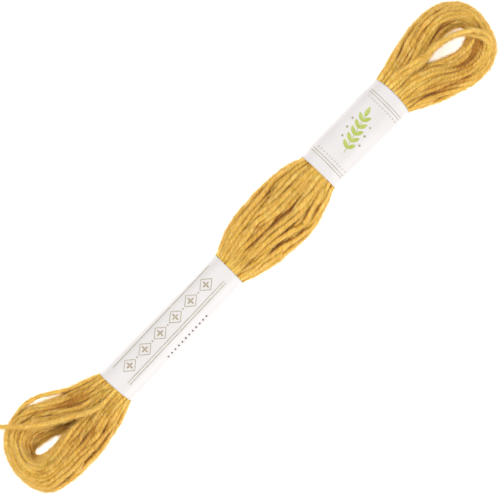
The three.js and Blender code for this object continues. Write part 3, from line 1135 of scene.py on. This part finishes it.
def creases(x, share):
    """How far the paper's upper side stands out from its plain form."""
    ridge = 0.3 + 0.08 * np.sin(0.11 * x + 1.0)
    fold = np.exp(-np.abs(share - ridge) / 0.10)
    front_fold = np.exp(-np.abs(share + 0.45 - 0.05 * np.sin(0.17 * x)) / 0.10)
    dents = np.sin(0.55 * x + 3.1 * share) * np.sin(0.23 * x - 5.0 * share + 1.0)
    return 0.10 * fold + 0.08 * front_fold + 0.05 * dents - 0.05


def band_top(x, y):
    """The height of a band's upper side at x, y."""
    (middle_y, middle_z), (half_y, half_z) = oval_at(x)
    share = (y - middle_y) / half_y
    rise = half_z * np.clip(1 - np.abs(share) ** SQUARE, 0, 1) ** (1 / SQUARE)
    return middle_z + rise + creases(x, share) * np.clip(1 - share**4, 0, 1)


def band_side(band, shares, angles, inward):
    """Points on one side of a band's paper, at shares along it and angles round it."""
    angle = angles[None, :] * math.pi
    power = 2 / SQUARE
    side = np.sign(np.cos(angle)) * np.abs(np.cos(angle)) ** power
    rise = np.sign(np.sin(angle)) * np.abs(np.sin(angle)) ** power
    start = band["start"] - band["slant"] * side
    end = band["end"] + band["bow"] * (1 - side**2)
    x = start + (end - start) * shares[:, None]
    (middle_y, middle_z), (half_y, half_z) = oval_at(x)
    lapping = ease(angles - angles[0], *LAP["step"])[None, :]
    edge = np.minimum(x - start, end - x)
    margin = LAP["rise"] * lapping + FLARE * np.exp(-edge / FLARE_LENGTH) - inward
    y = middle_y + (half_y + margin) * side
    z = middle_z + (half_z + margin) * rise
    z += creases(x, side) * (1 - side**4) * (rise > 0)
    return np.stack([x, y, z], 2)


def grid_faces(rows, columns, first, turned):
    """The faces between rows of points, which are numbered from first."""
    i, j = np.meshgrid(np.arange(rows - 1), np.arange(columns - 1), indexing="ij")
    a = first + i * columns + j
    corners = [a, a + columns, a + columns + 1, a + 1]
    return np.stack(corners[::-1] if turned else corners, 2).reshape(-1, 4)


def band_object(name, band):
    """A strip of paper round the bundle, lapped over its end on the underside."""
    rows = round((band["end"] - band["start"]) * BAND_ROWS_PER_MM)
    shares = np.linspace(0, 1, rows)
    angles = np.linspace(LAP["from"], LAP["from"] + 2 + LAP["over"], BAND_COLUMNS)
    outer_side = band_side(band, shares, angles, 0).reshape(-1, 3)
    inner_side = band_side(band, shares, angles, PAPER).reshape(-1, 3)
    count = len(outer_side)
    number = np.arange(count).reshape(rows, BAND_COLUMNS)
    rim = np.concatenate([number[0], number[1:, -1], number[-1, -2::-1], number[-2:0:-1, 0]])
    beyond = np.roll(rim, -1)
    edge = np.stack([rim, beyond, beyond + count, rim + count], 1)
    sides = [grid_faces(rows, BAND_COLUMNS, 0, False), grid_faces(rows, BAND_COLUMNS, count, True)]
    faces = np.concatenate([*sides, edge])
    made = new_object(name, np.concatenate([outer_side, inner_side]), faces, paper)
    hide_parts(name.replace("paper", "band"))


band_object("paper_long", LONG_BAND)
band_object("paper_short", SHORT_BAND)


# The prints on the bands, as thin films of ink

INK_LIFT = 0.04
INK_COLUMNS = 5
RULE = 0.17


def left_of(ways):
    """The unit directions to the left of others."""
    return unit(np.stack([-ways[..., 1], ways[..., 0]], -1))


def ribbon(points, wide=RULE):
    """A strip of one width along a line, as its two edges."""
    points = np.array(points, float)
    points = even_line(points, max(4, round(distances(points)[-1] / 0.35)))
    aside = left_of(np.gradient(points, axis=0))
    return points + wide / 2 * aside, points - wide / 2 * aside


def blade(base, tip, wide, pointed=0.8):
    """A leaf from its base to its tip, rounder with a smaller pointed."""
    base, tip = np.array(base, float), np.array(tip, float)
    t = np.linspace(0, 1, 12)[:, None]
    half = wide / 2 * np.sin(math.pi * t) ** pointed * left_of(tip - base)
    line = base + t * (tip - base)
    return line + half, line - half


def dot(x, y, size):
    """A round dot at x, y."""
    return blade((x - size / 2, y), (x + size / 2, y), size, 0.6)


def print_on(name, strips, ink):
    """Lays strips of ink on a band, whose creases they follow."""
    vertices, faces = [], []
    first = 0
    shares = np.linspace(0, 1, INK_COLUMNS)[:, None]
    for left, right in strips:
        flat = (left[:, None] + shares * (right - left)[:, None]).reshape(-1, 2)
        z = band_top(flat[:, 0], flat[:, 1]) + INK_LIFT
        vertices.append(np.column_stack([flat, z]))
        faces.append(grid_faces(len(left), INK_COLUMNS, first, True))
        first += len(flat)
    made = new_object(name, np.concatenate(vertices), np.concatenate(faces), ink)


def sprig(base, tip, pairs, leaf):
    """A stem with pairs of leaves, as its stem and its leaves."""
    base, tip = np.array(base, float), np.array(tip, float)
    ahead = unit(tip - base)
    aside = left_of(ahead)
    leaves = [blade(tip, tip + 1.2 * leaf * ahead, 0.42 * leaf)]
    for share in np.linspace(0.12, 0.88, pairs):
        foot = base + share * (tip - base)
        for way in (1, -1):
            end = foot + leaf * (0.75 * ahead + 0.66 * way * aside)
            leaves.append(blade(foot, end, 0.42 * leaf))
    return ribbon([base, tip]), leaves


def lozenge(x, y, long, high):
    """The outline of a lozenge with a flower of four petals in it."""
    corners = [(x - long, y), (x, y + high), (x + long, y), (x, y - high)]
    strips = [ribbon([a, b], 0.15) for a, b in zip(corners, corners[1:] + corners[:1])]
    for side, rise in ((0.62, 0), (-0.62, 0), (0, 0.62), (0, -0.62)):
        strips.append(blade((x, y), (x + side * long * 0.8, y + rise * high), 0.42))
    return strips


def long_band_prints():
    """A chain of lozenges with flowers between rules, and a row of dark dots."""
    start, end = LONG_BAND["start"] + 3.2, LONG_BAND["end"] - 3.0
    x = np.linspace(start, end, 60)

    def tilted(at, y):
        return y + 0.03 * (at - start)

    gold = [ribbon(np.stack([x, tilted(x, y)], 1), 0.14) for y in (3.4, -1.9, -2.6)]
    for i in range(6):
        middle = start + 3.4 + 5.5 * i
        gold += lozenge(middle, tilted(middle, 0.75), 2.1, 1.75)
        if i < 5:
            gold.append(dot(middle + 2.75, tilted(middle + 2.75, 0.75), 0.45))
    print_on("print_long_gold", gold, gold_ink)
    dots = [dot(at, tilted(at, -4.75), 0.5) for at in np.arange(-33.0, -18.0, 1.25)]
    print_on("print_long_dark", dots, dark_ink)


def short_band_prints():
    """Rules round both ends, and a leafy branch with berries between them."""
    gold = []
    for x in (28.6, 29.3, 48.9, 49.6):
        gold.append(ribbon([(x, y) for y in np.linspace(-3.3, 7.0, 12)], 0.15))
    for x in (30.3, 47.9):
        gold += [dot(x, y, 0.32) for y in np.arange(-2.9, 6.8, 0.9)]
    stem, leaves = sprig((33.4, 0.6), (43.2, 3.2), 5, 2.5)
    for x, y in ((36.2, 3.9), (38.6, 4.6), (41.1, 5.2), (37.4, -0.9), (39.9, -0.2), (42.3, 0.3)):
        gold.append(dot(x, y, 0.6))
    print_on("print_short_gold", gold, gold_ink)
    print_on("print_short_green", [stem, *leaves], green_ink)


gold_ink = ink_material("gold_ink", (0.45, 0.38, 0.24), (0.27, 0.215, 0.11))
green_ink = ink_material("green_ink", (0.47, 0.52, 0.14), (0.36, 0.43, 0.07))
dark_ink = ink_material("dark_ink", (0.16, 0.16, 0.17), (0.06, 0.06, 0.07))
long_band_prints()
short_band_prints()


# Light and floor


def softbox(name, place, size, power):
    """A square area light at a place, turned to the hank."""
    light = bpy.data.lights.new(name, "AREA")
    light.size = size
    light.energy = power
    lamp = linked(name, light)
    lamp.location = place
    lamp.rotation_euler = (-Vector(place)).to_track_quat("-Z", "Y").to_euler()


def studio():
    softbox("key", (-0.04, -0.5, 0.36), 0.25, 2.6)
    softbox("overhead", (0.0, 0.4, 0.66), 0.6, 4.6)
    world = bpy.data.worlds.new("studio")
    world.use_nodes = True
    background = world.node_tree.nodes["Background"]
    background.inputs["Color"].default_value = (1, 1, 1, 1)
    background.inputs["Strength"].default_value = 0.38
    scene.world = world
    corners = ((-1.5, -1.5, 0), (1.5, -1.5, 0), (1.5, 1.5, 0), (-1.5, 1.5, 0))
    mesh = bpy.data.meshes.new("floor")
    mesh.from_pydata(corners, [], [(0, 1, 2, 3)])
    pale = Nodes("pale_floor").shade(
        Base_Color=(0.92, 0.92, 0.92, 1),
        Roughness=0.9,
        Emission_Color=(1, 1, 1, 1),
        Emission_Strength=0.68,
    )
    mesh.materials.append(pale)
    linked("floor", mesh)
    scene.view_settings.view_transform = "Standard"


studio()
